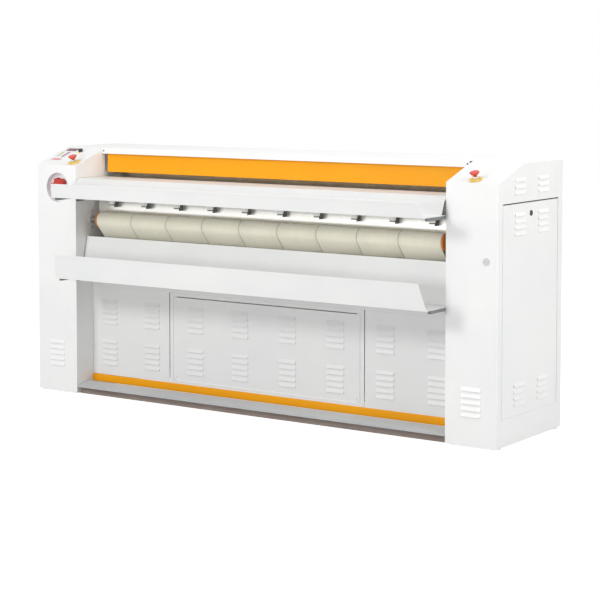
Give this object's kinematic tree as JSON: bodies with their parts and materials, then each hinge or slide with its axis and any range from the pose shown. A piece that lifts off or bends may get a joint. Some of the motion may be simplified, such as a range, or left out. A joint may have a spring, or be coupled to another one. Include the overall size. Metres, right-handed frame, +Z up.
{
  "type": "flatwork ironer",
  "caption": "Floor-standing flatwork ironer with two columns, a heated cylinder wrapped by cloth belts, a hinged finger guard, a feed tray above and a receiving tray below.",
  "frame": {"origin": "on the floor, in the middle of the machine's outline", "axes": "+X to the operator's right along the cylinder, +Y to the back, +Z up"},
  "size_m": [2.638, 0.864, 1.227],
  "materials": {
    "white_paint": "semi-gloss powder coat",
    "orange_paint": "semi-gloss powder coat",
    "grey_paint": "satin powder coat",
    "brown_paint": "matt paint",
    "galvanised_steel": "galvanised",
    "polished_steel": "polished",
    "bright_steel": "turned",
    "dark_steel": "oiled",
    "cast_iron": "painted casting",
    "cast_aluminium": "cast",
    "ironing_cloth": "woven needle felt",
    "white_plastic": "moulded",
    "black_plastic": "moulded",
    "grey_plastic": "moulded",
    "red_plastic": "moulded",
    "yellow_plastic": "moulded",
    "panel_film": "printed film, bare"
  },
  "bodies": {
    "frame": {"apron": "white_paint", "base_frames": "galvanised_steel", "base_plinth": "brown_paint", "bearings": "cast_iron", "brackets": "galvanised_steel", "cable_gland": "black_plastic", "column_cover_left": "white_paint", "column_cover_right": "white_paint", "contactors": "black_plastic", "control_panel": "panel_film", "crank_hole_cap": "grey_plastic", "door_surround": "white_paint", "drive_chain": "dark_steel", "electrics_plate": "galvanised_steel", "fan_housing": "galvanised_steel", "fan_motor": "cast_aluminium", "feed_plate": "white_paint", "feed_tray": "white_paint", "front_rail": "white_paint", "gearmotor": "cast_aluminium", "heater_carrier": "galvanised_steel", "heater_rods": "dark_steel", "ironing_belts": "ironing_cloth", "isolator_dish": "grey_plastic", "kick_strip": "orange_paint", "levelling_feet": "bright_steel", "lower_panel_left": "white_paint", "lower_panel_right": "white_paint", "pilot_lamp": "yellow_plastic", "rear_panel": "white_paint", "receiving_tray": "white_paint", "screws": "bright_steel", "service_door": "white_paint", "side_plates": "white_paint", "stop_bases": "yellow_plastic", "tie_tubes": "galvanised_steel", "top_cover": "white_paint"},
    "cylinder": {"ironing_cylinder": "polished_steel", "cylinder_sprocket": "dark_steel"},
    "front_roller": {"front_belt_roller": "bright_steel", "roller_end_discs": "orange_paint"},
    "feed_roller": {"feed_belt_roller": "bright_steel"},
    "belt_tension_roller": {"tension_roller": "bright_steel"},
    "low_roller": {"low_guide_roller": "bright_steel"},
    "high_roller": {"high_guide_roller": "bright_steel"},
    "motor_shaft": {"motor_sprocket": "dark_steel"},
    "fan_rotor": {"fan_impeller": "galvanised_steel"},
    "guard": {"finger_guard": "orange_paint"},
    "strippers": {"stripper_bar": "bright_steel", "stripper_holders": "white_plastic", "stripper_fingers": "black_plastic"},
    "foot_stop_bar": {"foot_bar": "grey_paint"},
    "door_right": {"side_door_right": "white_paint"},
    "door_left": {"side_door_left": "white_paint"},
    "lock_right": {"door_lock_right": "black_plastic"},
    "lock_left": {"door_lock_left": "black_plastic"},
    "stop_left": {"stop_button_left": "red_plastic"},
    "stop_right": {"stop_button_right": "red_plastic"},
    "knob": {"mode_knob": "black_plastic"},
    "isolator": {"isolator_knob": "red_plastic"}
  },
  "joints": [
    {"name": "cylinder_spin", "type": "hinge", "parent": "frame", "child": "cylinder", "pos_m": [0, 0.09, 0.932], "axis": [1, 0, 0], "continuous": true, "deforming": ["drive_chain"]},
    {"name": "front_roller_spin", "type": "hinge", "parent": "frame", "child": "front_roller", "pos_m": [0, -0.10704, 0.86987], "axis": [1, 0, 0], "continuous": true},
    {"name": "feed_roller_spin", "type": "hinge", "parent": "frame", "child": "feed_roller", "pos_m": [0, 0.13295, 1.13409], "axis": [1, 0, 0], "continuous": true},
    {"name": "tension_roller_spin", "type": "hinge", "parent": "frame", "child": "belt_tension_roller", "pos_m": [0, 0.068, 0.645], "axis": [1, 0, 0], "continuous": true},
    {"name": "low_roller_spin", "type": "hinge", "parent": "frame", "child": "low_roller", "pos_m": [0, 0.328, 0.745], "axis": [1, 0, 0], "continuous": true},
    {"name": "high_roller_spin", "type": "hinge", "parent": "frame", "child": "high_roller", "pos_m": [0, 0.328, 1.05], "axis": [1, 0, 0], "continuous": true},
    {"name": "motor_spin", "type": "hinge", "parent": "frame", "child": "motor_shaft", "pos_m": [0, 0.09, 0.60113], "axis": [1, 0, 0], "continuous": true},
    {"name": "fan_spin", "type": "hinge", "parent": "frame", "child": "fan_rotor", "pos_m": [0, 0.274, 0.3], "axis": [1, 0, 0], "continuous": true},
    {"name": "guard_swing", "type": "hinge", "parent": "frame", "child": "guard", "pos_m": [0, 0.008, 1.205], "axis": [1, 0, 0], "range_deg": [0, 15], "stiffness_Nm_per_rad": 4, "springref_deg": -11.46},
    {"name": "stripper_lift", "type": "hinge", "parent": "frame", "child": "strippers", "pos_m": [0, -0.096, 0.988], "axis": [1, 0, 0], "range_deg": [-20, 0], "stiffness_Nm_per_rad": 2, "springref_deg": 11.46},
    {"name": "foot_bar_press", "type": "hinge", "parent": "frame", "child": "foot_stop_bar", "pos_m": [0, -0.144, 0.052], "axis": [1, 0, 0], "range_deg": [0, 8], "stiffness_Nm_per_rad": 25, "springref_deg": -14.32},
    {"name": "door_right_hinge", "type": "hinge", "parent": "frame", "child": "door_right", "pos_m": [1.313, 0, 0.1243], "axis": [0, 1, 0], "range_deg": [0, 30]},
    {"name": "door_left_hinge", "type": "hinge", "parent": "frame", "child": "door_left", "pos_m": [-1.313, 0, 0.1243], "axis": [0, -1, 0], "range_deg": [0, 30]},
    {"name": "lock_right_turn", "type": "hinge", "parent": "door_right", "child": "lock_right", "pos_m": [1.313, 0.08, 1.002], "axis": [1, 0, 0], "range_deg": [0, 90]},
    {"name": "lock_left_turn", "type": "hinge", "parent": "door_left", "child": "lock_left", "pos_m": [-1.313, 0.08, 1.002], "axis": [1, 0, 0], "range_deg": [0, 90]},
    {"name": "stop_left_press", "type": "slide", "parent": "frame", "child": "stop_left", "axis": [0, -0.3239, 0.9461], "range_m": [-0.005, 0], "stiffness_N_per_m": 1500, "springref_m": 0.003},
    {"name": "stop_right_press", "type": "slide", "parent": "frame", "child": "stop_right", "axis": [0, -0.3239, 0.9461], "range_m": [-0.005, 0], "stiffness_N_per_m": 1500, "springref_m": 0.003},
    {"name": "knob_turn", "type": "hinge", "parent": "frame", "child": "knob", "pos_m": [-1.177, -0.043, 1.20697], "axis": [0, -0.3239, 0.9461], "range_deg": [-135, 135]},
    {"name": "isolator_turn", "type": "hinge", "parent": "frame", "child": "isolator", "pos_m": [-1.179, -0.224, 1.033], "axis": [0, 1, 0], "range_deg": [0, 90]}
  ],
  "couplings": [
    {"joint": "front_roller_spin", "follows": "cylinder_spin", "ratio": -4.191},
    {"joint": "feed_roller_spin", "follows": "cylinder_spin", "ratio": -4.191},
    {"joint": "tension_roller_spin", "follows": "cylinder_spin", "ratio": -6},
    {"joint": "low_roller_spin", "follows": "cylinder_spin", "ratio": -6},
    {"joint": "high_roller_spin", "follows": "cylinder_spin", "ratio": -6},
    {"joint": "motor_spin", "follows": "cylinder_spin", "ratio": 3.75}
  ]
}
